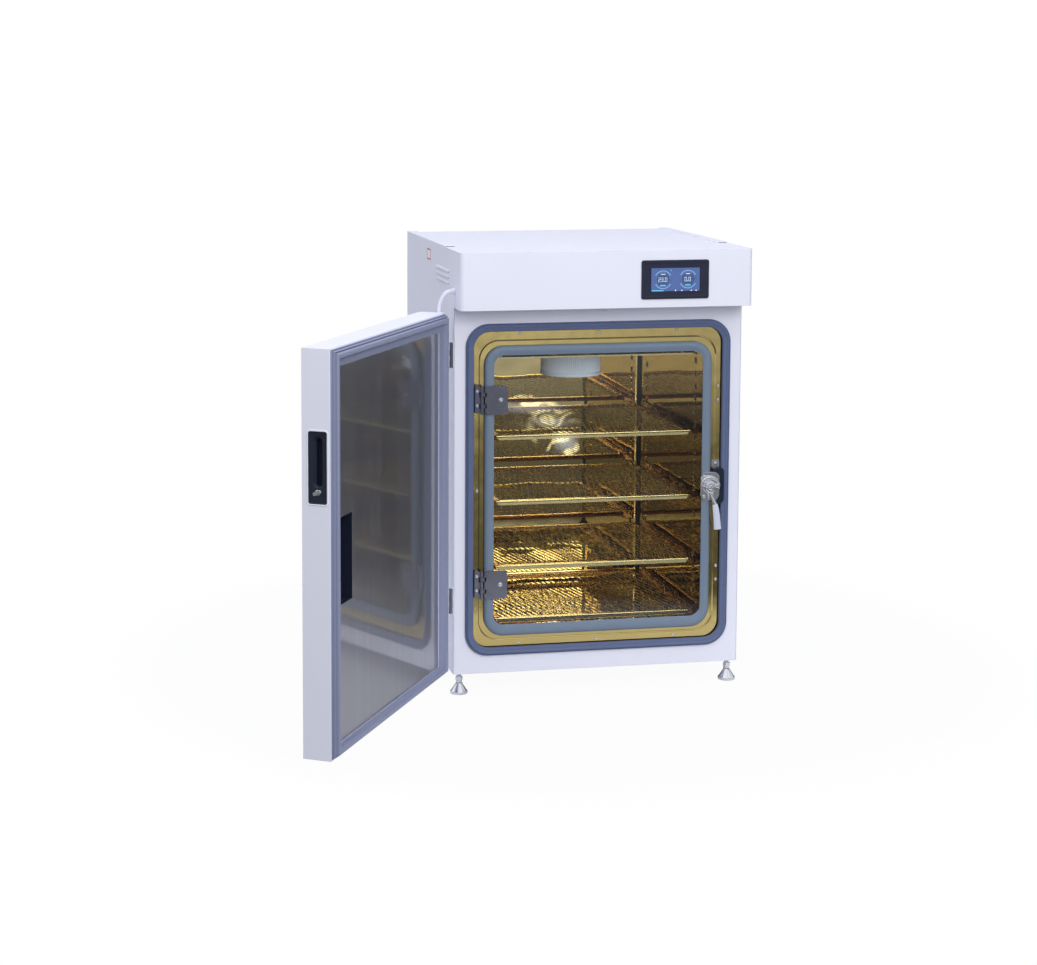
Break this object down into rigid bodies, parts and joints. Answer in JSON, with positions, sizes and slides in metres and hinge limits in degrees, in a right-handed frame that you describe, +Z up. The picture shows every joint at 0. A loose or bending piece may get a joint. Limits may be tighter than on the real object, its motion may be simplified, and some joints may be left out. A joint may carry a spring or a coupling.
{
  "type": "laboratory incubator",
  "caption": "White floor-standing laboratory incubator with its insulated outer door open, a latched inner glass door, gold mirror-finish chamber with mesh shelves, and a control head.",
  "frame": {"origin": "on the floor plane, under the middle of the cabinet's footprint (sides and front-to-rear panels, without the head and the open door)", "axes": "+Z up; the front with the doors faces -Y; +X is to the right of a person who faces the front"},
  "size_m": [1.0725, 1.1472, 0.9975],
  "materials": {
    "cabinet_paint": "fine-textured powder coat",
    "door_paint": "fine-textured powder coat",
    "gold_steel": "gold titanium-coated mirror stainless steel",
    "polished_steel": "polished",
    "satin_steel": "satin",
    "slate_rubber": "smooth",
    "blue_grey_rubber": "smooth",
    "grey_vinyl": "satin",
    "pane_glass": "clear toughened",
    "black_plastic": "fine texture",
    "gloss_black": "gloss",
    "display": "lit touch panel",
    "white_plastic": "satin",
    "silicone": "matte",
    "foam": "rigid foam",
    "heater_rubber": "silicone mat",
    "circuit_board": "solder mask",
    "bare_aluminium": "machined",
    "red_plastic": "gloss",
    "brass_fitting": "machined",
    "label": "plain film"
  },
  "bodies": {
    "cabinet": {"side_left": "cabinet_paint", "side_right": "cabinet_paint", "top_cover": "cabinet_paint", "rear_panel": "cabinet_paint", "base_panel": "cabinet_paint", "front_frame": "cabinet_paint", "display_bezel": "gloss_black", "display_screen": "display", "control_board": "circuit_board", "switch_housing": "black_plastic", "side_label": "label", "chamber_left": "gold_steel", "chamber_right": "gold_steel", "chamber_ceiling": "gold_steel", "chamber_floor": "gold_steel", "chamber_back": "gold_steel", "chamber_flange": "gold_steel", "insulation": "foam", "heater_mats": "heater_rubber", "flange_screws": "polished_steel", "door_seal": "slate_rubber", "shelf_runners": "gold_steel", "duct_plate": "gold_steel", "filter_element": "white_plastic", "fan_motor": "black_plastic", "glass_hinge_wall": "satin_steel", "latch_keeper": "gloss_black", "keeper_plate": "polished_steel", "door_hinge_body": "satin_steel", "door_lead": "white_plastic", "lead_gland": "white_plastic", "power_inlet": "black_plastic", "gas_ports": "brass_fitting", "access_sleeve": "white_plastic"},
    "outer_door": {"door_shell": "door_paint", "door_insulation": "foam", "door_panel": "satin_steel", "door_pocket": "black_plastic", "door_gasket": "grey_vinyl", "handle_cup": "black_plastic", "door_hinge_door": "satin_steel", "lead_cuff": "white_plastic"},
    "lock": {"door_lock": "polished_steel"},
    "glass_door": {"glass_pane": "pane_glass", "glass_seal": "blue_grey_rubber", "glass_hinge_door": "satin_steel", "latch_base": "polished_steel"},
    "latch": {"latch_handle": "polished_steel"},
    "top_shelf": {"shelf_1": "gold_steel"},
    "second_shelf": {"shelf_2": "gold_steel"},
    "third_shelf": {"shelf_3": "gold_steel"},
    "bottom_shelf": {"shelf_4": "gold_steel"},
    "fan_wheel": {"fan_rotor": "bare_aluminium"},
    "door_plunger": {"door_switch": "white_plastic"},
    "power_rocker": {"mains_switch": "red_plastic"},
    "silicone_plug": {"port_plug": "silicone"},
    "foot_front_left": {"foot_fl": "satin_steel"},
    "foot_front_right": {"foot_fr": "satin_steel"},
    "foot_rear_left": {"foot_rl": "satin_steel"},
    "foot_rear_right": {"foot_rr": "satin_steel"}
  },
  "joints": [
    {"name": "outer_door_swing", "type": "hinge", "parent": "cabinet", "child": "outer_door", "pos_m": [-0.337, -0.283, 0.447], "axis": [0, 0, -1], "range_deg": [-121, 19], "deforming": ["door_lead"]},
    {"name": "lock_turn", "type": "hinge", "parent": "outer_door", "child": "lock", "pos_m": [-0.71173, -0.83482, 0.58], "axis": [-0.515, -0.8572, 0], "range_deg": [0, 90]},
    {"name": "glass_door_swing", "type": "hinge", "parent": "cabinet", "child": "glass_door", "pos_m": [-0.2685, -0.29, 0.447], "axis": [0, 0, -1], "range_deg": [0, 110]},
    {"name": "latch_turn", "type": "hinge", "parent": "glass_door", "child": "latch", "pos_m": [0.256, -0.298, 0.4537], "axis": [0, 1, 0], "range_deg": [0, 90]},
    {"name": "top_shelf_slide", "type": "slide", "parent": "cabinet", "child": "top_shelf", "axis": [0, -1, 0], "range_m": [0, 0.034]},
    {"name": "second_shelf_slide", "type": "slide", "parent": "cabinet", "child": "second_shelf", "axis": [0, -1, 0], "range_m": [0, 0.034]},
    {"name": "third_shelf_slide", "type": "slide", "parent": "cabinet", "child": "third_shelf", "axis": [0, -1, 0], "range_m": [0, 0.034]},
    {"name": "bottom_shelf_slide", "type": "slide", "parent": "cabinet", "child": "bottom_shelf", "axis": [0, -1, 0], "range_m": [0, 0.034]},
    {"name": "fan_spin", "type": "hinge", "parent": "cabinet", "child": "fan_wheel", "pos_m": [0, -0.03, 0.762], "axis": [0, 0, 1], "continuous": true},
    {"name": "door_switch_press", "type": "slide", "parent": "cabinet", "child": "door_plunger", "axis": [0, 0, 1], "range_m": [0, 0.005], "stiffness_N_per_m": 150},
    {"name": "mains_switch_rock", "type": "hinge", "parent": "cabinet", "child": "power_rocker", "pos_m": [-0.195, 0.278, 0.917], "axis": [-1, 0, 0], "range_deg": [0, 12]},
    {"name": "port_plug_pull", "type": "slide", "parent": "cabinet", "child": "silicone_plug", "axis": [0, 1, 0], "range_m": [0, 0.06]},
    {"name": "foot_front_left_turn", "type": "hinge", "parent": "cabinet", "child": "foot_front_left", "pos_m": [-0.313, -0.262, 0.027], "axis": [0, 0, 1], "continuous": true},
    {"name": "foot_front_right_turn", "type": "hinge", "parent": "cabinet", "child": "foot_front_right", "pos_m": [0.313, -0.262, 0.027], "axis": [0, 0, 1], "continuous": true},
    {"name": "foot_rear_left_turn", "type": "hinge", "parent": "cabinet", "child": "foot_rear_left", "pos_m": [-0.313, 0.262, 0.027], "axis": [0, 0, 1], "continuous": true},
    {"name": "foot_rear_right_turn", "type": "hinge", "parent": "cabinet", "child": "foot_rear_right", "pos_m": [0.313, 0.262, 0.027], "axis": [0, 0, 1], "continuous": true}
  ]
}
